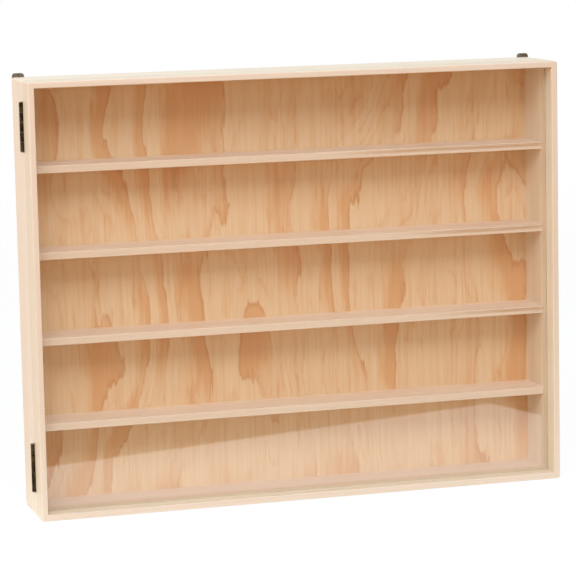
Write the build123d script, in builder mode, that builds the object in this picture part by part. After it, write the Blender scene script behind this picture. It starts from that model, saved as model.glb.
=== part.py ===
from build123d import *
from math import radians, tan
import os

os.makedirs("parts", exist_ok=True)

# Sizes are in millimetres. X runs across the case, Y from its front to its back and Z upward.
# The origin is in the middle of the underside.

# Case and door: one shallow box, sawn apart into a deep back half and a glazed door
width = 430.0
height = 340.0
wall = 5.0
case_depth = 40.0
door_depth = 22.5
door_gap = 0.5
corner_radius = 2.0
arris_radius = 0.8
eased_edge = 0.3

# Joinery: the upright boards run full height, and the level ones sit in rabbets in them
corner_rabbet = 2.5
compartments = 5
shelf_thickness = 6.0
shelf_housing = 1.5
shelf_arris = 0.5
panel_thickness = 4.0
panel_rabbet = 2.5
panel_fit = 0.1

# Pane in a groove all round the door frame
pane_thickness = 2.0
pane_setback = 13.5
pane_groove = 2.5
pane_edge_fit = 0.15
pane_face_fit = 0.1

# Butt hinges with five knuckles, let in flush on both sides of the gap
hinge_length = 38.0
hinge_lower_end = 19.5
hinge_upper_end = 16.5
knuckle_count = 5
knuckle_gap = 0.3
barrel_radius = 2.0
pin_radius = 1.0
pin_fit = 0.05
pin_offset = 0.8
pin_head_radius = 1.5
pin_head_height = 0.4
leaf_thickness = 0.8
leaf_margin = 0.5
leaf_fit = 0.1
leaf_corner = 0.4
running_gap = 0.3

# Countersunk screws and panel pins
countersink_angle = 82
screw_shank_radius = 0.6
screw_head_radius = 1.2
screw_slot = 0.35
screw_fit = 0.04
hinge_screw_length = 4.8
hinge_screws = 2
hinge_screw_pitch = 22.0
hanger_screw_length = 9.0
panel_pin_radius = 0.6
panel_pin_length = 12.0
panel_pins_across = 3
panel_pin_spread = 165.0

# Keyhole hanging plates on the back, one at each upper corner
hanger_length = 30.0
hanger_width = 9.6
hanger_corner = 2.5
hanger_thickness = 1.2
hanger_rise = 3.2
hanger_inset = 5.2
keyhole_radius = 3.0
keyhole_slot = 2.6
keyhole_travel = 7.0
keyhole_drop = 19.7
keyhole_pocket_depth = 3.0
keyhole_pocket_margin = 0.6
hanger_screw_end = 4.0

# Closing magnets let into the free edges
magnet_radius = 1.5
magnet_thickness = 2.0
magnet_fit = 0.05

# Planes and lines that several boards share
depth = door_depth + door_gap + case_depth
door_front = -depth / 2
door_back = door_front + door_depth
case_front = door_back + door_gap
case_back = depth / 2
panel_front = case_back - panel_thickness
inner_width = width - 2 * wall
inner_height = height - 2 * wall
middle = height / 2

# Shelves stand at equal heights, each let into both uprights
compartment_height = (inner_height - (compartments - 1) * shelf_thickness) / compartments
shelf_pitch = compartment_height + shelf_thickness
shelf_levels = [wall + step * shelf_pitch - shelf_thickness / 2 for step in range(1, compartments)]
shelf_depth = panel_front - case_front
shelf_middle = (panel_front + case_front) / 2

# The hinge pins stand just outside the left face, in the middle of the gap
pin_x = -width / 2 - pin_offset
pin_y = door_back + door_gap / 2
hinge_levels = {
    "lower": hinge_lower_end + hinge_length / 2,
    "upper": height - hinge_upper_end - hinge_length / 2,
}
knuckle_length = (hinge_length - (knuckle_count - 1) * knuckle_gap) / knuckle_count
knuckle_pitch = knuckle_length + knuckle_gap
leaf_edge = -width / 2 + wall - leaf_margin
leaf_width = leaf_edge - pin_x
leaf_middle = (leaf_edge + pin_x) / 2
recess_length = hinge_length + 2 * (pin_head_height + running_gap)
screw_x = (leaf_edge + pin_x + barrel_radius) / 2

# Panel pins and the hangers' lower screws enter the middle of the panel's ledge
ledge_inset = wall - panel_rabbet / 2
ledge_x = width / 2 - ledge_inset
panel_pin_rows = [ledge_inset, height - ledge_inset]

# Hanging plates
hanger_x = width / 2 - hanger_inset
hanger_top = height + hanger_rise
hanger_middle = hanger_top - hanger_length / 2
keyhole_level = hanger_top - keyhole_drop
hanger_lip_level = height - (wall - panel_rabbet) / 2
hanger_low_level = hanger_top - hanger_length + hanger_screw_end

# Magnets face each other across the gap, in the middle of the lowest and highest compartments
magnet_x = width / 2 - wall / 2
magnet_levels = [wall + compartment_height / 2, height - wall - compartment_height / 2]


def facing_front(x, y, level):
    """A plane at this point that looks toward the front."""
    return Plane((x, y, level), x_dir=(1, 0, 0), z_dir=(0, -1, 0))


def facing_back(x, y, level):
    """A plane at this point that looks toward the back."""
    return Plane((x, y, level), x_dir=(1, 0, 0), z_dir=(0, 1, 0))


def hinge_screw_levels(level):
    """Heights of the screws in a hinge leaf whose middle is at this height."""
    offset = (hinge_screws - 1) / 2
    return [level + (step - offset) * hinge_screw_pitch for step in range(hinge_screws)]


case_screw_planes = {
    place: [facing_front(screw_x, case_front, z) for z in hinge_screw_levels(level)]
    for place, level in hinge_levels.items()
}
door_screw_planes = {
    place: [facing_back(screw_x, door_back, z) for z in hinge_screw_levels(level)]
    for place, level in hinge_levels.items()
}
hanger_screw_planes = {
    hand: [
        facing_back(hand * hanger_x, case_back + hanger_thickness, hanger_lip_level),
        facing_back(hand * ledge_x, case_back + hanger_thickness, hanger_low_level),
    ]
    for hand in (-1, 1)
}
upright_pin_planes = {hand: facing_back(hand * ledge_x, case_back, middle) for hand in (-1, 1)}
level_pin_planes = [
    [
        facing_back((step - (panel_pins_across - 1) / 2) * panel_pin_spread, case_back, z)
        for step in range(panel_pins_across)
    ]
    for z in panel_pin_rows
]
panel_pin_planes = [*upright_pin_planes.values(), *level_pin_planes[0], *level_pin_planes[1]]
case_magnet_planes = [facing_front(magnet_x, case_front, z) for z in magnet_levels]
door_magnet_planes = [facing_back(magnet_x, door_back, z) for z in magnet_levels]


def glued_ring(front, back):
    """Four boards glued up and sanded as one, with rounded outer corners."""
    with BuildPart() as ring:
        with BuildSketch(Plane.XZ.offset(-back)):
            with Locations((0, middle)):
                RectangleRounded(width, height, corner_radius)
                Rectangle(inner_width, inner_height, mode=Mode.SUBTRACT)
        extrude(amount=back - front)
    return ring.part


def upright_outline(hand):
    """Front view of an upright board: full height, rabbeted on its inner side at both ends."""
    with BuildSketch(Plane.XZ) as outline:
        with Locations((hand * (width - wall) / 2, middle)):
            Rectangle(wall, height)
        with Locations((hand * (inner_width + corner_rabbet) / 2, middle)):
            with GridLocations(0, height - wall, 1, 2):
                Rectangle(corner_rabbet, wall, mode=Mode.SUBTRACT)
    return outline.sketch


def level_outline(level):
    """Front view of a top or bottom board, or of a rail, which ends in the rabbets."""
    with BuildSketch(Plane.XZ) as outline:
        with Locations((0, level)):
            Rectangle(inner_width + 2 * corner_rabbet, wall)
    return outline.sketch


def countersunk_screw(length):
    """A slotted screw with its flush head at the origin, pointing down."""
    cone = (screw_head_radius - screw_shank_radius) / tan(radians(countersink_angle / 2))
    with BuildPart() as screw:
        with BuildSketch(Plane.XZ):
            with BuildLine():
                Polyline(
                    (0, 0),
                    (screw_head_radius, 0),
                    (screw_shank_radius, -cone),
                    (screw_shank_radius, -length),
                    (0, -length),
                    close=True,
                )
            make_face()
        revolve(axis=Axis.Z)
        Box(2 * screw_head_radius, screw_slot, screw_slot, mode=Mode.SUBTRACT)
    return screw.part


def hinge_leaf(level, face, inward, first_knuckle, screw_planes):
    """A leaf let in from this face, with every second knuckle; inward is 1 toward the back."""
    bottom = level - hinge_length / 2 + knuckle_length / 2
    centres = [(pin_x, pin_y, bottom + step * knuckle_pitch) for step in range(knuckle_count)]
    with BuildPart() as leaf:
        with Locations((leaf_middle, face + inward * leaf_thickness / 2, level)):
            Box(leaf_width, leaf_thickness, hinge_length)
        fillet(leaf.edges().filter_by(Axis.Y).group_by(Axis.X)[-1], leaf_corner)
        with Locations(*centres[1 - first_knuckle::2]):
            Cylinder(
                barrel_radius + running_gap,
                knuckle_length + 2 * knuckle_gap,
                mode=Mode.SUBTRACT,
            )
        with Locations(*centres[first_knuckle::2]):
            Cylinder(barrel_radius, knuckle_length)
        with Locations((pin_x, pin_y, level)):
            Cylinder(pin_radius + pin_fit, hinge_length, mode=Mode.SUBTRACT)
        with Locations(*screw_planes):
            CounterSinkHole(
                screw_shank_radius + screw_fit,
                screw_head_radius + screw_fit,
                depth=leaf_thickness,
                counter_sink_angle=countersink_angle,
            )
    return leaf.part


def hinge_pin(level):
    """A pin with a low flat head at each end of the barrel."""
    head_offset = (hinge_length + pin_head_height) / 2
    with BuildPart() as pin:
        with Locations((pin_x, pin_y, level)):
            Cylinder(pin_radius, hinge_length)
        with Locations((pin_x, pin_y, level - head_offset), (pin_x, pin_y, level + head_offset)):
            Cylinder(pin_head_radius, pin_head_height)
    return pin.part


def hanging_plate(hand):
    """A plate with rounded corners, a keyhole and two countersunk holes."""
    with BuildPart() as plate:
        with BuildSketch(Plane.XZ.offset(-case_back)):
            with Locations((hand * hanger_x, hanger_middle)):
                RectangleRounded(hanger_width, hanger_length, hanger_corner)
            with Locations((hand * hanger_x, keyhole_level)):
                Circle(keyhole_radius, mode=Mode.SUBTRACT)
            with Locations((hand * hanger_x, keyhole_level + keyhole_travel / 2)):
                SlotCenterToCenter(keyhole_travel, keyhole_slot, rotation=90, mode=Mode.SUBTRACT)
        extrude(amount=-hanger_thickness)
        with Locations(*hanger_screw_planes[hand]):
            CounterSinkHole(
                screw_shank_radius + screw_fit,
                screw_head_radius + screw_fit,
                depth=hanger_thickness,
                counter_sink_angle=countersink_angle,
            )
    return plate.part


# Room behind each keyhole for the head of a wall screw as it slides up
with BuildPart() as keyhole_pockets:
    with BuildSketch(Plane.XZ.offset(-case_back)):
        with Locations((0, keyhole_level + keyhole_travel / 2)):
            with GridLocations(2 * hanger_x, 0, 2, 1):
                SlotCenterToCenter(
                    keyhole_travel,
                    2 * (keyhole_radius + keyhole_pocket_margin),
                    rotation=90,
                )
    extrude(amount=keyhole_pocket_depth)

left_upright = upright_outline(-1)
right_upright = upright_outline(1)
top_level = level_outline(height - wall / 2)
bottom_level = level_outline(wall / 2)

# Case half of the box, with softened edges and a ledge for its back panel
with BuildPart() as case_ring:
    add(glued_ring(case_front, case_back))
    chamfer(case_ring.faces().sort_by(Axis.Y)[0].outer_wire().edges(), eased_edge)
    chamfer(case_ring.faces().sort_by(Axis.Y)[-1].outer_wire().edges(), eased_edge)
    with BuildSketch(Plane.XZ.offset(-case_back)):
        with Locations((0, middle)):
            Rectangle(inner_width + 2 * panel_rabbet, inner_height + 2 * panel_rabbet)
    extrude(amount=panel_thickness, mode=Mode.SUBTRACT)

# Door half of the box, rounded at its front edges and grooved for its pane
with BuildPart() as door_ring:
    add(glued_ring(door_front, door_back))
    fillet(door_ring.faces().sort_by(Axis.Y)[0].edges(), arris_radius)
    chamfer(door_ring.faces().sort_by(Axis.Y)[-1].outer_wire().edges(), eased_edge)
    with BuildSketch(Plane.XZ.offset(pane_face_fit - door_front - pane_setback)):
        with Locations((0, middle)):
            Rectangle(inner_width + 2 * pane_groove, inner_height + 2 * pane_groove)
    extrude(amount=-pane_thickness - 2 * pane_face_fit, mode=Mode.SUBTRACT)

# Left side of the case: shelf housings, hinge recesses and pilot holes
with BuildPart() as case_left_side:
    add(case_ring.part)
    extrude(left_upright, amount=depth, both=True, mode=Mode.INTERSECT)
    with Locations(*[(-inner_width / 2, shelf_middle, z) for z in shelf_levels]):
        Box(2 * shelf_housing, shelf_depth, shelf_thickness, mode=Mode.SUBTRACT)
    with Locations(*[(leaf_middle, case_front, z) for z in hinge_levels.values()]):
        Box(
            leaf_width + 2 * leaf_fit,
            2 * leaf_thickness,
            hinge_length + 2 * leaf_fit,
            mode=Mode.SUBTRACT,
        )
    with Locations(*[(pin_x, pin_y, z) for z in hinge_levels.values()]):
        Cylinder(barrel_radius + running_gap, recess_length, mode=Mode.SUBTRACT)
    with Locations(*case_screw_planes["lower"], *case_screw_planes["upper"]):
        Hole(screw_shank_radius + screw_fit, hinge_screw_length + screw_fit)
    with Locations(upright_pin_planes[-1]):
        Hole(panel_pin_radius + screw_fit, panel_pin_length + screw_fit)
    with Locations(hanger_screw_planes[-1][1]):
        Hole(screw_shank_radius + screw_fit, hanger_screw_length + screw_fit)
    add(keyhole_pockets.part, mode=Mode.SUBTRACT)
case_left_side.part.label = "case_left_side"
export_step(case_left_side.part, "parts/case_left_side.step")

# Right side of the case: shelf housings and magnet sockets
with BuildPart() as case_right_side:
    add(case_ring.part)
    extrude(right_upright, amount=depth, both=True, mode=Mode.INTERSECT)
    with Locations(*[(inner_width / 2, shelf_middle, z) for z in shelf_levels]):
        Box(2 * shelf_housing, shelf_depth, shelf_thickness, mode=Mode.SUBTRACT)
    with Locations(*case_magnet_planes):
        Hole(magnet_radius + magnet_fit, magnet_thickness)
    with Locations(upright_pin_planes[1]):
        Hole(panel_pin_radius + screw_fit, panel_pin_length + screw_fit)
    with Locations(hanger_screw_planes[1][1]):
        Hole(screw_shank_radius + screw_fit, hanger_screw_length + screw_fit)
    add(keyhole_pockets.part, mode=Mode.SUBTRACT)
case_right_side.part.label = "case_right_side"
export_step(case_right_side.part, "parts/case_right_side.step")

# Top board of the case
with BuildPart() as case_top:
    add(case_ring.part)
    extrude(top_level, amount=depth, both=True, mode=Mode.INTERSECT)
    with Locations(*level_pin_planes[1]):
        Hole(panel_pin_radius + screw_fit, panel_pin_length + screw_fit)
    with Locations(hanger_screw_planes[-1][0], hanger_screw_planes[1][0]):
        Hole(screw_shank_radius + screw_fit, hanger_screw_length + screw_fit)
case_top.part.label = "case_top"
export_step(case_top.part, "parts/case_top.step")

# Bottom board of the case
with BuildPart() as case_bottom:
    add(case_ring.part)
    extrude(bottom_level, amount=depth, both=True, mode=Mode.INTERSECT)
    with Locations(*level_pin_planes[0]):
        Hole(panel_pin_radius + screw_fit, panel_pin_length + screw_fit)
case_bottom.part.label = "case_bottom"
export_step(case_bottom.part, "parts/case_bottom.step")

# Shelves, numbered from the lowest, with softened front edges
for number, shelf_level in enumerate(shelf_levels, start=1):
    with BuildPart() as shelf:
        with Locations((0, shelf_middle, shelf_level)):
            Box(inner_width + 2 * shelf_housing, shelf_depth, shelf_thickness)
        fillet(shelf.edges().filter_by(Axis.X).group_by(Axis.Y)[0], shelf_arris)
    shelf.part.label = f"shelf_{number}"
    export_step(shelf.part, f"parts/shelf_{number}.step")

# Plywood back, held on its ledge by the panel pins
with BuildPart() as back_panel:
    with BuildSketch(Plane.XZ.offset(-case_back)):
        with Locations((0, middle)):
            Rectangle(
                inner_width + 2 * (panel_rabbet - panel_fit),
                inner_height + 2 * (panel_rabbet - panel_fit),
            )
    extrude(amount=panel_thickness)
    with Locations(*panel_pin_planes):
        Hole(panel_pin_radius + screw_fit, panel_thickness)
    with Locations(hanger_screw_planes[-1][1], hanger_screw_planes[1][1]):
        Hole(screw_shank_radius + screw_fit, hanger_thickness + panel_thickness)
    add(keyhole_pockets.part, mode=Mode.SUBTRACT)
back_panel.part.label = "back_panel"
export_step(back_panel.part, "parts/back_panel.step")

# Pins round the edge of the back panel, set flush
with BuildPart() as back_panel_pins:
    with Locations(*panel_pin_planes):
        Cylinder(panel_pin_radius, panel_pin_length, align=(Align.CENTER, Align.CENTER, Align.MAX))
back_panel_pins.part.label = "back_panel_pins"
export_step(back_panel_pins.part, "parts/back_panel_pins.step")

# Hinge stile of the door: hinge recesses and pilot holes
with BuildPart() as door_left_stile:
    add(door_ring.part)
    extrude(left_upright, amount=depth, both=True, mode=Mode.INTERSECT)
    with Locations(*[(leaf_middle, door_back, z) for z in hinge_levels.values()]):
        Box(
            leaf_width + 2 * leaf_fit,
            2 * leaf_thickness,
            hinge_length + 2 * leaf_fit,
            mode=Mode.SUBTRACT,
        )
    with Locations(*[(pin_x, pin_y, z) for z in hinge_levels.values()]):
        Cylinder(barrel_radius + running_gap, recess_length, mode=Mode.SUBTRACT)
    with Locations(*door_screw_planes["lower"], *door_screw_planes["upper"]):
        Hole(screw_shank_radius + screw_fit, hinge_screw_length + screw_fit)
door_left_stile.part.label = "door_left_stile"
export_step(door_left_stile.part, "parts/door_left_stile.step")

# Free stile of the door, with magnet sockets
with BuildPart() as door_right_stile:
    add(door_ring.part)
    extrude(right_upright, amount=depth, both=True, mode=Mode.INTERSECT)
    with Locations(*door_magnet_planes):
        Hole(magnet_radius + magnet_fit, magnet_thickness)
door_right_stile.part.label = "door_right_stile"
export_step(door_right_stile.part, "parts/door_right_stile.step")

# Top rail of the door
with BuildPart() as door_top_rail:
    add(door_ring.part)
    extrude(top_level, amount=depth, both=True, mode=Mode.INTERSECT)
door_top_rail.part.label = "door_top_rail"
export_step(door_top_rail.part, "parts/door_top_rail.step")

# Bottom rail of the door
with BuildPart() as door_bottom_rail:
    add(door_ring.part)
    extrude(bottom_level, amount=depth, both=True, mode=Mode.INTERSECT)
door_bottom_rail.part.label = "door_bottom_rail"
export_step(door_bottom_rail.part, "parts/door_bottom_rail.step")

# Clear pane, a little smaller than the bottoms of its grooves
with BuildPart() as door_pane:
    with BuildSketch(Plane.XZ.offset(-door_front - pane_setback)):
        with Locations((0, middle)):
            Rectangle(
                inner_width + 2 * (pane_groove - pane_edge_fit),
                inner_height + 2 * (pane_groove - pane_edge_fit),
            )
    extrude(amount=-pane_thickness)
door_pane.part.label = "door_pane"
export_step(door_pane.part, "parts/door_pane.step")

# Hinges: the case leaf has the outer and middle knuckles, the door leaf the two between
hinge_screw = countersunk_screw(hinge_screw_length)
for place, hinge_level in hinge_levels.items():
    case_leaf = hinge_leaf(hinge_level, case_front, 1, 0, case_screw_planes[place])
    case_leaf.label = f"hinge_{place}_case_leaf"
    export_step(case_leaf, f"parts/hinge_{place}_case_leaf.step")

    door_leaf = hinge_leaf(hinge_level, door_back, -1, 1, door_screw_planes[place])
    door_leaf.label = f"hinge_{place}_door_leaf"
    export_step(door_leaf, f"parts/hinge_{place}_door_leaf.step")

    pin = hinge_pin(hinge_level)
    pin.label = f"hinge_{place}_pin"
    export_step(pin, f"parts/hinge_{place}_pin.step")

    with BuildPart() as case_screws:
        with Locations(*case_screw_planes[place]):
            add(hinge_screw)
    case_screws.part.label = f"hinge_{place}_case_screws"
    export_step(case_screws.part, f"parts/hinge_{place}_case_screws.step")

    with BuildPart() as door_screws:
        with Locations(*door_screw_planes[place]):
            add(hinge_screw)
    door_screws.part.label = f"hinge_{place}_door_screws"
    export_step(door_screws.part, f"parts/hinge_{place}_door_screws.step")

# Hanging plates and their screws
for side, hand in {"left": -1, "right": 1}.items():
    hanger = hanging_plate(hand)
    hanger.label = f"hanger_{side}"
    export_step(hanger, f"parts/hanger_{side}.step")

hanger_screw = countersunk_screw(hanger_screw_length)
with BuildPart() as hanger_screws:
    with Locations(*hanger_screw_planes[-1], *hanger_screw_planes[1]):
        add(hanger_screw)
hanger_screws.part.label = "hanger_screws"
export_step(hanger_screws.part, "parts/hanger_screws.step")

# Magnets, flush with the faces that meet
with BuildPart() as case_magnets:
    with Locations(*case_magnet_planes):
        Cylinder(magnet_radius, magnet_thickness, align=(Align.CENTER, Align.CENTER, Align.MAX))
case_magnets.part.label = "case_magnets"
export_step(case_magnets.part, "parts/case_magnets.step")

with BuildPart() as door_magnets:
    with Locations(*door_magnet_planes):
        Cylinder(magnet_radius, magnet_thickness, align=(Align.CENTER, Align.CENTER, Align.MAX))
door_magnets.part.label = "door_magnets"
export_step(door_magnets.part, "parts/door_magnets.step")
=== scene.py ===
import math

import bpy
from mathutils import Matrix, Vector


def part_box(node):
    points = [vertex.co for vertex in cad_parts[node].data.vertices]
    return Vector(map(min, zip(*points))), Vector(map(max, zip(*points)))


# Places and sizes are in metres, the lens in millimetres, angles in degrees, colours linear

# Camera

camera_place = (-0.62115, -2.10667, 0.48295)
camera_turn = -16.330
camera_tilt = 8.2185
camera_roll = 1.2107
sensor_width = 36.0
focal_length = 173.986

# Colours of the object, where the shades of a metal are dark patina, brown patina and worn metal

case_pale = (0.850, 0.725, 0.572)
case_deep = (0.757, 0.600, 0.438)
bottom_pale = (0.812, 0.645, 0.515)
bottom_deep = (0.723, 0.533, 0.392)
door_pale = (0.785, 0.665, 0.500)
door_deep = (0.698, 0.550, 0.382)
# Painted shade: the next colour darkens the door's front faces
door_front_shade = (0.458, 0.342, 0.304)
shelf_pale = (0.925, 0.752, 0.617)
shelf_deep = (0.828, 0.634, 0.488)
# Painted shade: the next colour darkens the shelves' front faces
shelf_front_shade = (0.560, 0.385, 0.255)
dark_brown = (0.500, 0.275, 0.145)
# Paler edges: partly wear, partly a painted highlight
edge_wear_and_highlight = (0.860, 0.720, 0.580)
ply_pale = (0.712, 0.501, 0.310)
ply_tan = (0.638, 0.343, 0.160)
ply_line = (0.514, 0.234, 0.101)
brass_shades = ((0.012, 0.007, 0.003), (0.105, 0.068, 0.024), (0.380, 0.255, 0.095))
bronze_shades = ((0.150, 0.122, 0.092), (0.260, 0.212, 0.160), (0.480, 0.410, 0.320))
steel_dull = (0.330, 0.320, 0.300)
steel_bright = (0.620, 0.610, 0.590)
pane_tint = (0.985, 0.988, 0.982)

# Colours of the floor and of the light

pure_white = (1.000, 1.000, 1.000)
floor_brown = (0.600, 0.280, 0.080)
card_tone = (0.950, 0.840, 0.700)
mirrored_card = (1.280, 1.280, 1.280)
mirrored_floor = (0.020, 0.018, 0.016)
cool_light = (0.900, 1.000, 1.120)
warm_light = (1.000, 0.970, 0.880)
surround_light = (0.960, 1.000, 1.000)

# Which sockets of a mixing node hold its colours

first_colour = 6
second_colour = 7
mixed_colour = 2


class Shading:
    """The nodes of one material, made and joined by short calls."""

    def __init__(self, name):
        self.material = bpy.data.materials.new(name)
        self.material.use_nodes = True
        self.tree = self.material.node_tree
        self.tree.nodes.clear()
        self.output = self.node("ShaderNodeOutputMaterial")

    def node(self, kind, **settings):
        made = self.tree.nodes.new(kind)
        for name, value in settings.items():
            setattr(made, name, value)
        return made

    def feed(self, socket, value):
        """Links a socket to another one, or sets it to a number or a colour."""
        if isinstance(value, bpy.types.NodeSocket):
            self.tree.links.new(value, socket)
        elif socket.type == "RGBA":
            socket.default_value = (*value, 1.0)
        else:
            socket.default_value = value

    def place(self):
        return self.node("ShaderNodeTexCoord").outputs["Object"]

    def math(self, operation, first, second=0.0, clamp=False):
        made = self.node("ShaderNodeMath", operation=operation, use_clamp=clamp)
        self.feed(made.inputs[0], first)
        self.feed(made.inputs[1], second)
        return made.outputs[0]

    def total(self, *values):
        result = values[0]
        for value in values[1:]:
            result = self.math("ADD", result, value)
        return result

    def product(self, *values):
        result = values[0]
        for value in values[1:]:
            result = self.math("MULTIPLY", result, value)
        return result

    def at_most_one(self, value):
        return self.math("MULTIPLY", value, 1.0, clamp=True)

    def split(self, vector):
        made = self.node("ShaderNodeSeparateXYZ")
        self.feed(made.inputs[0], vector)
        return list(made.outputs)

    def join(self, x, y, z):
        made = self.node("ShaderNodeCombineXYZ")
        for socket, value in zip(made.inputs, (x, y, z)):
            self.feed(socket, value)
        return made.outputs[0]

    def stretch(self, vector, sizes, shift=(0.0, 0.0, 0.0)):
        """Moves a place by shift, then measures it in units of sizes along its three axes."""
        moved = self.node("ShaderNodeVectorMath", operation="ADD")
        self.feed(moved.inputs[0], vector)
        moved.inputs[1].default_value = shift
        scaled = self.node("ShaderNodeVectorMath", operation="DIVIDE")
        self.feed(scaled.inputs[0], moved.outputs[0])
        scaled.inputs[1].default_value = sizes
        return scaled.outputs[0]

    def noise(self, vector, detail=2.0, roughness=0.5):
        """A cloudy value around one half, with patches about one unit of the vector in size."""
        made = self.node("ShaderNodeTexNoise")
        self.feed(made.inputs["Vector"], vector)
        made.inputs["Scale"].default_value = 1.0
        made.inputs["Detail"].default_value = detail
        made.inputs["Roughness"].default_value = roughness
        return made.outputs["Fac"]

    def sway(self, value, reach):
        """Turns the value of a noise into a move to either side."""
        return self.product(self.math("SUBTRACT", value, 0.5), reach)

    def ease(self, value, low, high, to_low=0.0, to_high=1.0):
        """Goes smoothly from to_low to to_high while value goes from low to high."""
        made = self.node("ShaderNodeMapRange", interpolation_type="SMOOTHSTEP")
        for socket, setting in zip(made.inputs, (value, low, high, to_low, to_high)):
            self.feed(socket, setting)
        return made.outputs[0]

    def fall(self, value, low, high, from_high=1.0):
        """Goes smoothly from from_high down to nothing while value goes from low to high."""
        return self.ease(value, low, high, from_high, 0.0)

    def mix(self, factor, first, second):
        """The colour that lies a share, called factor, of the way from first to second."""
        made = self.node("ShaderNodeMix", data_type="RGBA")
        self.feed(made.inputs["Factor"], factor)
        self.feed(made.inputs[first_colour], first)
        self.feed(made.inputs[second_colour], second)
        return made.outputs[mixed_colour]

    def blend(self, share, first, second):
        """Gives the material two surfaces at once, the second one with the given share."""
        both = self.node("ShaderNodeMixShader")
        self.feed(both.inputs[0], share)
        self.feed(both.inputs[1], first.outputs[0])
        self.feed(both.inputs[2], second.outputs[0])
        self.feed(self.output.inputs["Surface"], both.outputs[0])
        return self.material

    def bump(self, height, distance, strength):
        made = self.node("ShaderNodeBump")
        made.inputs["Distance"].default_value = distance
        made.inputs["Strength"].default_value = strength
        self.feed(made.inputs["Height"], height)
        return made.outputs[0]

    def surface(self, colour, roughness, normal, metallic=0.0):
        made = self.node("ShaderNodeBsdfPrincipled")
        self.feed(made.inputs["Base Color"], colour)
        self.feed(made.inputs["Roughness"], roughness)
        self.feed(made.inputs["Normal"], normal)
        made.inputs["Metallic"].default_value = metallic
        self.feed(self.output.inputs["Surface"], made.outputs[0])
        return self.material

    def rim_distance(self, place, box):
        """Distance to the nearest edge of a box: the middle one of the distances to its walls."""
        low, high = box
        walls = []
        for axis, along in enumerate(self.split(place)):
            middle = (low[axis] + high[axis]) / 2
            half = (high[axis] - low[axis]) / 2
            from_middle = self.math("ABSOLUTE", self.math("SUBTRACT", along, middle))
            walls.append(self.math("SUBTRACT", half, from_middle))
        nearer = self.math("MINIMUM", walls[0], walls[1])
        farther = self.math("MAXIMUM", walls[0], walls[1])
        return self.math("MAXIMUM", nearer, self.math("MINIMUM", farther, walls[2]))


def box_round(names):
    """Lowest and highest corner of several nodes together."""
    boxes = [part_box(name) for name in names]
    low = Vector(min(box[0][axis] for box in boxes) for axis in range(3))
    high = Vector(max(box[1][axis] for box in boxes) for axis in range(3))
    return low, high


def paint(name, material):
    """Gives every slot of a node the same material."""
    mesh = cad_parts[name].data
    mesh.materials.clear()
    mesh.materials.append(material)


# In all the materials below, a cell is the size of the patches of a noise along three axes, which
# for solid wood are across the grain, from front to back and along the grain. A range says where a
# value starts and ends its rise or fall. A seed moves the figure of one piece away from the others.

seed_step = 3.7

# Growth rings round a distant heart

ring_width = 0.0031
ring_wander = 0.0065
wander_cell = (0.030, 0.030, 0.240)
heart_offset = (0.085, 0.055)
heart_step = (0.017, 0.009)
late_wood_rise = (0.25, 0.85)
late_wood_end = (0.90, 1.00)


def growth_rings(s, lengthwise, across, y, shift, seed):
    """How dark the rings are: each of them darkens slowly and ends sharply."""
    wander = s.noise(s.stretch(lengthwise, wander_cell, shift))
    sway = s.sway(wander, 2 * ring_wander)
    from_heart_a = s.total(across, heart_offset[0] + heart_step[0] * seed, sway)
    from_heart_b = s.math("ADD", y, heart_offset[1] + heart_step[1] * seed)
    squares = s.total(
        s.product(from_heart_a, from_heart_a), s.product(from_heart_b, from_heart_b)
    )
    rings = s.math("FRACT", s.math("DIVIDE", s.math("SQRT", squares), ring_width))
    return s.product(s.ease(rings, *late_wood_rise), s.fall(rings, *late_wood_end))


# Edges of solid wood, paler with a ragged limit: partly wear, partly a painted highlight on the
# arrises

worn_and_highlit_cell = (0.006, 0.006, 0.006)
worn_and_highlit_range = (-0.0002, 0.0010)
worn_and_highlit_raggedness = 0.0011


def worn_and_highlit_rim(s, place, box, shift):
    rim = s.rim_distance(place, box)
    patches = s.noise(s.stretch(place, worn_and_highlit_cell, shift), detail=3.0)
    ragged = s.product(patches, worn_and_highlit_raggedness)
    return s.fall(s.math("SUBTRACT", rim, ragged), *worn_and_highlit_range)


# Solid wood: growth rings, drawn-out fibres, short pores, edges paler from wear and a painted
# highlight, and painted shade on the front faces where a front colour is given

tone_cell = (0.011, 0.020, 0.330)
tone_range = (0.30, 0.72)
tone_share = 0.50
late_wood_share = 0.22
late_wood_roughness = -0.04
coarse_fibre_cell = (0.0022, 0.0022, 0.090)
coarse_fibre_range = (0.35, 0.70)
coarse_fibre_share = 0.22
fibre_cell = (0.0006, 0.0006, 0.026)
fibre_range = (0.30, 0.75)
fibre_share = 0.20
fibre_roughness = 0.10
fibre_relief = 0.6
pore_cell = (0.00035, 0.00035, 0.0035)
pore_range = (0.66, 0.74)
pore_share = 0.28
pore_relief = -1.0
front_depth = 0.0008
front_shade_share = 0.50
worn_and_highlight_share = 0.16
worn_roughness = -0.06
wood_roughness = 0.40
wood_relief = 0.00005


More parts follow.
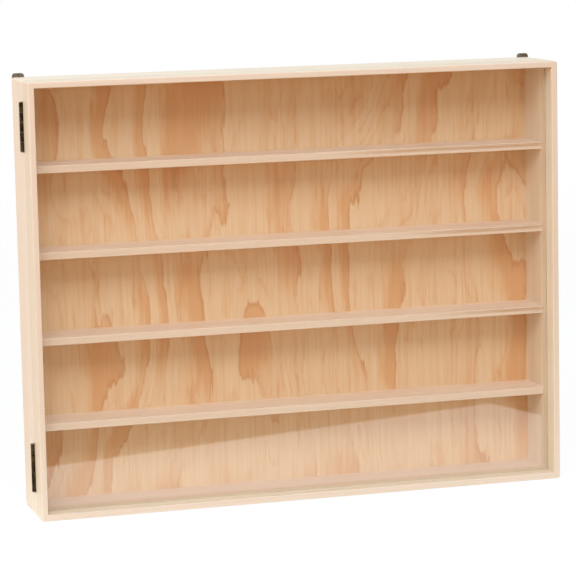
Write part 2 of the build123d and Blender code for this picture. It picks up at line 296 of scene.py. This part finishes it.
def wood(name, grain_axis, seed, pale, deep, box, front=None, streak=None):
    """Wood with its grain along an axis. A front colour paints shade on the face on the box's front.
    """
    s = Shading(name)
    place = s.place()
    x, y, z = s.split(place)
    along, across = (z, x) if grain_axis == "Z" else (x, z)
    lengthwise = s.join(across, y, along)
    shift = (seed * seed_step, -seed * seed_step, seed * 2 * seed_step)
    late_wood = growth_rings(s, lengthwise, across, y, shift, seed)

    tone = s.noise(s.stretch(lengthwise, tone_cell, shift), detail=3.0, roughness=0.55)
    fibre = s.noise(s.stretch(lengthwise, fibre_cell, shift), detail=3.0, roughness=0.6)
    coarse_fibre = s.noise(s.stretch(lengthwise, coarse_fibre_cell, shift))
    pore_field = s.noise(s.stretch(lengthwise, pore_cell, shift), detail=1.0)
    pores = s.ease(pore_field, *pore_range)

    depth = s.total(
        s.product(s.ease(tone, *tone_range), tone_share),
        s.product(late_wood, late_wood_share),
        s.product(s.ease(coarse_fibre, *coarse_fibre_range), coarse_fibre_share),
        s.product(s.ease(fibre, *fibre_range), fibre_share),
    )
    colour = s.mix(s.at_most_one(depth), pale, deep)
    colour = s.mix(s.product(pores, pore_share), colour, dark_brown)
    # Painted shade: the face at the box's front is darkened towards the front colour
    if front:
        front_shade_mask = s.fall(y, box[0].y, box[0].y + front_depth, front_shade_share)
        colour = s.mix(front_shade_mask, colour, front)
    if streak:
        colour = s.mix(streak(s, lengthwise, shift, fibre), colour, dark_brown)
    # Paler edges: partly wear, partly a painted highlight on the arrises
    worn = worn_and_highlit_rim(s, place, box, shift)
    colour = s.mix(s.product(worn, worn_and_highlight_share), colour, edge_wear_and_highlight)

    roughness = s.total(
        wood_roughness,
        s.product(fibre, fibre_roughness),
        s.product(late_wood, late_wood_roughness),
        s.product(worn, worn_roughness),
    )
    relief = s.total(
        s.product(fibre, fibre_relief), s.product(pores, pore_relief), late_wood
    )
    return s.surface(colour, roughness, s.bump(relief, wood_relief, strength=0.5))


# A darker brown streak that runs along the front of a shelf, a little below its top

streak_starts = {"shelf_2": 0.130, "shelf_3": 0.105, "shelf_4": 0.050}
streak_low = -0.0032
streak_high = -0.0006
streak_rise = 0.0012
streak_fall = 0.0016
streak_sway = 0.0016
streak_cell = (0.020, 0.020, 0.060)
streak_onset = (-0.030, 0.050)
streak_fibre_range = (0.15, 0.70)
streak_strength = (0.40, 0.80)


def brown_front_streak(start_x, shelf_top):
    """A streak that fades in round start_x and runs on to the right."""
    band_low = shelf_top + streak_low
    band_high = shelf_top + streak_high

    def amount(s, lengthwise, shift, fibre):
        height, _, along = s.split(lengthwise)
        sway = s.noise(s.stretch(lengthwise, streak_cell, shift))
        level = s.math("ADD", height, s.product(sway, streak_sway))
        above_low = s.ease(level, band_low, band_low + streak_rise)
        below_high = s.fall(level, band_high, band_high + streak_fall)
        begun = s.ease(along, start_x + streak_onset[0], start_x + streak_onset[1])
        strength = s.ease(fibre, *streak_fibre_range, *streak_strength)
        return s.product(above_low, below_high, begun, strength)

    return amount


# Course of the bands in the plywood

figure_shift = (15.468, 0.0, 25.276)
band_spacing = 0.044
band_shift = 0.0475
broad_cell = (0.105, 0.3, 0.230)
broad_sway = 5.6
narrow_cell = (0.030, 0.3, 0.095)
narrow_sway = 1.20
ragged_cell = (0.0022, 0.3, 0.016)
ragged_sway = 0.24


def band_height(s, place, x):
    """Counts the bands from left to right, with their wavy and ragged course."""
    broad = s.noise(s.stretch(place, broad_cell, figure_shift), detail=1.5, roughness=0.45)
    narrow = s.noise(s.stretch(place, narrow_cell, figure_shift))
    ragged = s.noise(s.stretch(place, ragged_cell, figure_shift), roughness=0.6)
    return s.total(
        s.math("DIVIDE", s.math("ADD", x, band_shift), band_spacing),
        s.sway(broad, broad_sway),
        s.sway(narrow, narrow_sway),
        s.sway(ragged, ragged_sway),
    )


# Plywood: a peeled face whose rings show as feathered bands with one sharp side

face_depth = 0.001
rear_face_shift = (0.61, 1.37)
band_rise = (0.34, 0.72)
band_end = (0.950, 0.985)
band_share = 0.85
band_roughness = -0.05
band_relief = 0.5
line_rise = (0.880, 0.955)
line_end = (0.955, 0.985)
line_share = 0.55
rings_in_a_band = 4.0
ring_rise = (0.60, 0.90)
ring_end = (0.90, 0.98)
ring_share = 0.45
broken_cell = (0.020, 0.3, 0.055)
broken_shift = (3.3, 0.0, 7.1)
broken_range = (0.42, 0.62)
presence_cell = (0.070, 0.3, 0.120)
presence_shift = (9.12, 0.0, 2.04)
presence_range = (0.40, 0.60)
presence_strength = (0.10, 1.00)
ply_fibre_cell = (0.0010, 0.01, 0.034)
ply_fibre_range = (0.38, 0.70)
ply_fibre_share = 0.30
ply_fibre_roughness = 0.12
ply_streak_cell = (0.0034, 0.01, 0.110)
ply_streak_range = (0.42, 0.72)
ply_streak_share = 0.34
fleck_cell = (0.00055, 0.01, 0.0042)
fleck_shift = (1.1, 0.0, 3.3)
fleck_range = (0.70, 0.78)
fleck_share = 0.30
fleck_relief = -1.2
ply_roughness = 0.46
ply_relief = 0.00006


def plywood(name):
    """A sheet whose front and rear face are cut from different places of one figure."""
    low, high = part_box(name)
    s = Shading(name)
    x, y, z = s.split(s.place())
    rear_face = s.ease(y, low.y + face_depth, high.y - face_depth)
    x = s.math("ADD", x, s.product(rear_face, rear_face_shift[0]))
    z = s.math("ADD", z, s.product(rear_face, rear_face_shift[1]))
    place = s.join(x, y, z)
    height = band_height(s, place, x)
    phase = s.math("FRACT", height)
    band = s.product(s.ease(phase, *band_rise), s.fall(phase, *band_end))
    line = s.product(s.ease(phase, *line_rise), s.fall(phase, *line_end))
    ring_phase = s.math("FRACT", s.product(height, rings_in_a_band))
    ring_line = s.product(s.ease(ring_phase, *ring_rise), s.fall(ring_phase, *ring_end))
    broken = s.noise(s.stretch(place, broken_cell, broken_shift), roughness=0.6)
    rings = s.product(ring_line, s.ease(broken, *broken_range), ring_share)
    presence = s.noise(s.stretch(place, presence_cell, presence_shift), detail=1.0)
    strength = s.ease(presence, *presence_range, *presence_strength)

    fibre = s.noise(s.stretch(place, ply_fibre_cell, figure_shift), detail=3.0, roughness=0.6)
    streaks = s.noise(s.stretch(place, ply_streak_cell, figure_shift), detail=2.5)
    fleck_field = s.noise(s.stretch(place, fleck_cell, fleck_shift), detail=1.0)
    flecks = s.ease(fleck_field, *fleck_range)

    tan = s.total(
        s.product(band, strength, band_share),
        rings,
        s.product(s.ease(streaks, *ply_streak_range), ply_streak_share),
        s.product(s.ease(fibre, *ply_fibre_range), ply_fibre_share),
    )
    colour = s.mix(s.at_most_one(tan), ply_pale, ply_tan)
    colour = s.mix(s.product(line, strength, line_share), colour, ply_line)
    colour = s.mix(s.product(flecks, fleck_share), colour, ply_line)

    roughness = s.total(
        ply_roughness, s.product(fibre, ply_fibre_roughness), s.product(band, band_roughness)
    )
    relief = s.total(fibre, s.product(flecks, fleck_relief), s.product(band, band_relief))
    return s.surface(colour, roughness, s.bump(relief, ply_relief, strength=0.5))


# Aged brass and bronze: a cloudy patina that is rubbed away in places and along the edges

cloud_cell = (0.0050, 0.0050, 0.0050)
spot_cell = (0.0009, 0.0009, 0.0009)
spot_share = 0.35
spot_relief = 0.5
patina_range = (0.50, 0.85)
patina_roughness = -0.10
rubbed_cell = (0.0040, 0.0040, 0.0003)
rubbed_range = (0.55, 0.80)
rubbed_cloud_range = (0.50, 0.75)
rubbed_share = 0.35
edge_range = (-0.0003, 0.0003)
edge_raggedness = 0.0005
edge_share = 0.75
wear_roughness = -0.20
metal_roughness = 0.50
metal_relief = 0.00008
metal_share = 0.85


def aged_metal(name, seed, shades, box=None):
    """Metal with a patina. With a box, the edges of the piece are worn."""
    s = Shading(name)
    dark, brown, worn = shades
    place = s.place()
    shift = (seed * seed_step, seed * seed_step, -seed * seed_step)
    cloud = s.noise(s.stretch(place, cloud_cell, shift), detail=4.0, roughness=0.6)
    spots = s.noise(s.stretch(place, spot_cell, shift), detail=3.0, roughness=0.6)
    rubbed = s.noise(s.stretch(place, rubbed_cell, shift))
    patina = s.ease(s.total(cloud, s.product(spots, spot_share)), *patina_range)
    colour = s.mix(patina, dark, brown)
    wear = s.product(
        s.ease(rubbed, *rubbed_range), s.ease(cloud, *rubbed_cloud_range), rubbed_share
    )
    if box:
        rim = s.rim_distance(place, box)
        from_edge = s.math("SUBTRACT", rim, s.product(spots, edge_raggedness))
        wear = s.math("MAXIMUM", wear, s.fall(from_edge, *edge_range, edge_share))
    colour = s.mix(wear, colour, worn)
    roughness = s.total(
        metal_roughness, s.product(patina, patina_roughness), s.product(wear, wear_roughness)
    )
    relief = s.total(cloud, s.product(spots, spot_relief))
    normal = s.bump(relief, metal_relief, strength=0.4)
    return s.surface(colour, roughness, normal, metallic=metal_share)


# Bright steel, with fine level turning marks

turned_cell = (0.0030, 0.0030, 0.00012)
turned_roughness = 0.18
dull_cell = (0.0020, 0.0020, 0.0020)
bright_range = (0.70, 1.30)
steel_roughness = 0.22
steel_relief = 0.00002


def bright_steel(name):
    s = Shading(name)
    place = s.place()
    turned = s.noise(s.stretch(place, turned_cell))
    cloud = s.noise(s.stretch(place, dull_cell), detail=3.0)
    colour = s.mix(s.ease(s.total(turned, cloud), *bright_range), steel_dull, steel_bright)
    roughness = s.total(steel_roughness, s.product(turned, turned_roughness))
    normal = s.bump(turned, steel_relief, strength=0.3)
    return s.surface(colour, roughness, normal, metallic=1.0)


# Clear pane: it lets light straight through and mirrors a little from both faces

pane_index = 1.58
wiped_cell = (0.060, 0.060, 0.025)
wiped_range = (0.45, 0.75)
wiped_roughness = 0.030
dust_cell = (0.0012, 0.0012, 0.0012)
dust_share = 0.006
pane_roughness = 0.008
pane_relief = 0.00002


def clear_pane(name):
    s = Shading(name)
    place = s.place()
    wiped = s.noise(s.stretch(place, wiped_cell), detail=4.0, roughness=0.6)
    dust = s.noise(s.stretch(place, dust_cell))
    from_inside = s.node("ShaderNodeNewGeometry").outputs["Backfacing"]
    index = s.math("ADD", pane_index, s.product(from_inside, 1 / pane_index - pane_index))
    mirrored = s.node("ShaderNodeFresnel")
    s.feed(mirrored.inputs["IOR"], index)
    share = s.math("ADD", mirrored.outputs[0], s.product(wiped, dust, dust_share))
    roughness = s.total(pane_roughness, s.product(s.ease(wiped, *wiped_range), wiped_roughness))
    through = s.node("ShaderNodeBsdfTransparent")
    s.feed(through.inputs["Color"], pane_tint)
    gloss = s.node("ShaderNodeBsdfGlossy")
    s.feed(gloss.inputs["Color"], pure_white)
    s.feed(gloss.inputs["Roughness"], roughness)
    s.feed(gloss.inputs["Normal"], s.bump(wiped, pane_relief, strength=0.2))
    return s.blend(share, through, gloss)


# Floor: a white one to look at, and in mirrors a bright card that lies on a dark one

floor_reach = 14.0
near_glow = 0.92
glow_range = (1.0, 2.6)
card_corner = (0.279, -0.333)
card_turn = 15.9
card_left = -0.25
card_fade = 0.004


def floor_material(name):
    """The floor as it is looked at, as mirrors show it, and as it sends light back.

    The card lies before the object, to the left of its turned corner and behind it. In mirrors the
    floor behind the object is bright too. For the light the floor is brown, and only the part of
    the card to the right of card_left is pale.
    """
    s = Shading(name)
    x, y, _ = s.split(s.place())
    turn = math.radians(card_turn)
    from_x = s.math("SUBTRACT", x, card_corner[0])
    from_y = s.math("SUBTRACT", y, card_corner[1])
    along = s.math(
        "SUBTRACT", s.product(from_x, math.cos(turn)), s.product(from_y, math.sin(turn))
    )
    back = s.math("ADD", s.product(from_x, math.sin(turn)), s.product(from_y, math.cos(turn)))
    on_card = s.product(
        s.fall(along, -card_fade, card_fade), s.ease(back, -card_fade, card_fade)
    )
    right_part = s.ease(x, card_left - card_fade, card_left + card_fade)
    bright_part = s.math("MAXIMUM", on_card, s.ease(y, 0.0, card_fade))

    path = s.node("ShaderNodeLightPath")
    mirrored = path.outputs["Is Glossy Ray"]
    looked_at = s.math(
        "MAXIMUM", path.outputs["Is Camera Ray"], path.outputs["Is Transmission Ray"]
    )
    glow = s.node("ShaderNodeEmission")
    in_mirror = s.mix(bright_part, mirrored_floor, mirrored_card)
    s.feed(glow.inputs["Color"], s.mix(mirrored, pure_white, in_mirror))
    matt = s.node("ShaderNodeBsdfDiffuse")
    in_light = s.mix(s.product(on_card, right_part), floor_brown, card_tone)
    s.feed(matt.inputs["Color"], s.mix(looked_at, in_light, pure_white))
    distance = s.math("SQRT", s.total(s.product(x, x), s.product(y, y)))
    white_share = s.product(looked_at, s.ease(distance, *glow_range, near_glow, 1.0))
    return s.blend(s.math("MAXIMUM", mirrored, white_share), matt, glow)


def make_floor():
    mesh = bpy.data.meshes.new("floor")
    sides = [(-1, -1), (1, -1), (1, 1), (-1, 1)]
    corners = [(x * floor_reach, y * floor_reach, 0.0) for x, y in sides]
    mesh.from_pydata(corners, [], [(0, 1, 2, 3)])
    floor = bpy.data.objects.new("floor", mesh)
    bpy.context.scene.collection.objects.link(floor)
    mesh.materials.append(floor_material("floor"))


# Light: a surround that is white to look at and softer as a light, and large soft lamps

surround_strength = 0.58
lamp_target = (0.0, 0.0, 0.17)


def make_surround():
    world = bpy.data.worlds.new("surround")
    world.use_nodes = True
    tree = world.node_tree
    tree.nodes.clear()
    output = tree.nodes.new("ShaderNodeOutputWorld")
    path = tree.nodes.new("ShaderNodeLightPath")
    seen = tree.nodes.new("ShaderNodeMath")
    seen.operation = "MAXIMUM"
    tree.links.new(path.outputs["Is Camera Ray"], seen.inputs[0])
    mirrored = tree.nodes.new("ShaderNodeMath")
    mirrored.operation = "MAXIMUM"
    tree.links.new(path.outputs["Is Glossy Ray"], mirrored.inputs[0])
    tree.links.new(path.outputs["Is Transmission Ray"], mirrored.inputs[1])
    tree.links.new(mirrored.outputs[0], seen.inputs[1])
    white = tree.nodes.new("ShaderNodeBackground")
    white.inputs["Color"].default_value = (*pure_white, 1.0)
    soft = tree.nodes.new("ShaderNodeBackground")
    soft.inputs["Color"].default_value = (*surround_light, 1.0)
    soft.inputs["Strength"].default_value = surround_strength
    both = tree.nodes.new("ShaderNodeMixShader")
    tree.links.new(seen.outputs[0], both.inputs[0])
    tree.links.new(soft.outputs[0], both.inputs[1])
    tree.links.new(white.outputs[0], both.inputs[2])
    tree.links.new(both.outputs[0], output.inputs["Surface"])
    bpy.context.scene.world = world


def soft_lamp(name, place, width, height, power, colour):
    """A rectangular lamp that faces the object and isn't seen in mirrors."""
    lamp = bpy.data.lights.new(name, "AREA")
    lamp.shape = "RECTANGLE"
    lamp.size = width
    lamp.size_y = height
    lamp.energy = power
    lamp.color = colour
    holder = bpy.data.objects.new(name, lamp)
    holder.visible_glossy = False
    bpy.context.scene.collection.objects.link(holder)
    holder.location = place
    aim = Vector(lamp_target) - Vector(place)
    holder.rotation_euler = aim.to_track_quat("-Z", "Y").to_euler()


def make_lamps():
    """Each lamp with its place, width, height, power in watts and colour."""
    soft_lamp("key_lamp", (-0.4, -1.67, 1.63), 1.5, 0.9, power=34.0, colour=cool_light)
    soft_lamp("low_lamp", (-0.3, -2.40, 0.35), 2.4, 0.6, power=12.0, colour=warm_light)
    soft_lamp("left_lamp", (-1.7, -1.70, 0.90), 1.4, 1.2, power=10.0, colour=cool_light)
    soft_lamp("side_lamp", (-2.2, -0.20, 1.20), 1.2, 1.2, power=14.2, colour=cool_light)


def make_camera():
    """Starts level and looking to the back, then is rolled, tilted down and turned."""
    lens = bpy.data.cameras.new("camera")
    lens.sensor_width = sensor_width
    lens.lens = focal_length
    camera = bpy.data.objects.new("camera", lens)
    bpy.context.scene.collection.objects.link(camera)
    turn = Matrix.Rotation(math.radians(camera_turn), 4, "Z")
    tilt = Matrix.Rotation(math.radians(-camera_tilt), 4, "X")
    roll = Matrix.Rotation(math.radians(camera_roll), 4, "Y")
    level = Matrix.Rotation(math.radians(90), 4, "X")
    camera.matrix_world = Matrix.Translation(camera_place) @ turn @ tilt @ roll @ level
    bpy.context.scene.camera = camera


# The stage, with the object in its frame

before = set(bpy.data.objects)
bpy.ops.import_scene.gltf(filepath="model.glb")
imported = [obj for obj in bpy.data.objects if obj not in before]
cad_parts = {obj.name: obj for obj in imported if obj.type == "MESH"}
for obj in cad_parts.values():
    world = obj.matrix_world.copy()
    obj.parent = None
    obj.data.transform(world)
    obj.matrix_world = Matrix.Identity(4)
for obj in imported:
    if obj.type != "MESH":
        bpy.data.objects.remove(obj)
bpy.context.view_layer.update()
bpy.context.scene.view_settings.view_transform = "Standard"

make_camera()
make_floor()
make_surround()
make_lamps()

# The first seed of each group of pieces

case_seed = 1
door_seed = 6
shelf_seed = 11
leaf_seed = 1
screw_seed = 4
hanger_seed = 7
hanger_screw_seed = 9

# Boards of the case and the door, and the shelves

case_sides = ["case_left_side", "case_right_side"]
case_levels = ["case_top", "case_bottom"]
case_box = box_round(case_sides + case_levels)
for seed, name in enumerate(case_sides + case_levels, start=case_seed):
    grain_axis = "Z" if name in case_sides else "X"
    pale, deep = (bottom_pale, bottom_deep) if name == "case_bottom" else (case_pale, case_deep)
    paint(name, wood(name, grain_axis, seed, pale, deep, case_box))

door_uprights = ["door_left_stile", "door_right_stile"]
door_rails = ["door_top_rail", "door_bottom_rail"]
door_box = box_round(door_uprights + door_rails)
for seed, name in enumerate(door_uprights + door_rails, start=door_seed):
    grain_axis = "Z" if name in door_uprights else "X"
    # The door's front faces get painted shade
    paint(name, wood(name, grain_axis, seed, door_pale, door_deep, door_box, door_front_shade))

shelves = ["shelf_1", "shelf_2", "shelf_3", "shelf_4"]
for seed, name in enumerate(shelves, start=shelf_seed):
    low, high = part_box(name)
    streak = None
    if name in streak_starts:
        streak = brown_front_streak(streak_starts[name], high.z)
    # The shelves' front faces get painted shade
    board = wood(name, "X", seed, shelf_pale, shelf_deep, (low, high), shelf_front_shade, streak)
    paint(name, board)

# Back and pane

paint("back_panel", plywood("back_panel"))
paint("door_pane", clear_pane("clear_pane"))

# Metal pieces

for step, end in enumerate(["hinge_lower", "hinge_upper"]):
    for leaf in ["case_leaf", "door_leaf"]:
        name = f"{end}_{leaf}"
        paint(name, aged_metal(name, leaf_seed + step, brass_shades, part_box(name)))
    for screws in ["case_screws", "door_screws"]:
        name = f"{end}_{screws}"
        paint(name, aged_metal(name, screw_seed + step, brass_shades))
for seed, name in enumerate(["hanger_left", "hanger_right"], start=hanger_seed):
    paint(name, aged_metal(name, seed, bronze_shades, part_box(name)))
paint("hanger_screws", aged_metal("hanger_screws", hanger_screw_seed, bronze_shades))

steel = bright_steel("bright_steel")
for name in ["hinge_lower_pin", "hinge_upper_pin", "back_panel_pins", "case_magnets", "door_magnets"]:
    paint(name, steel)
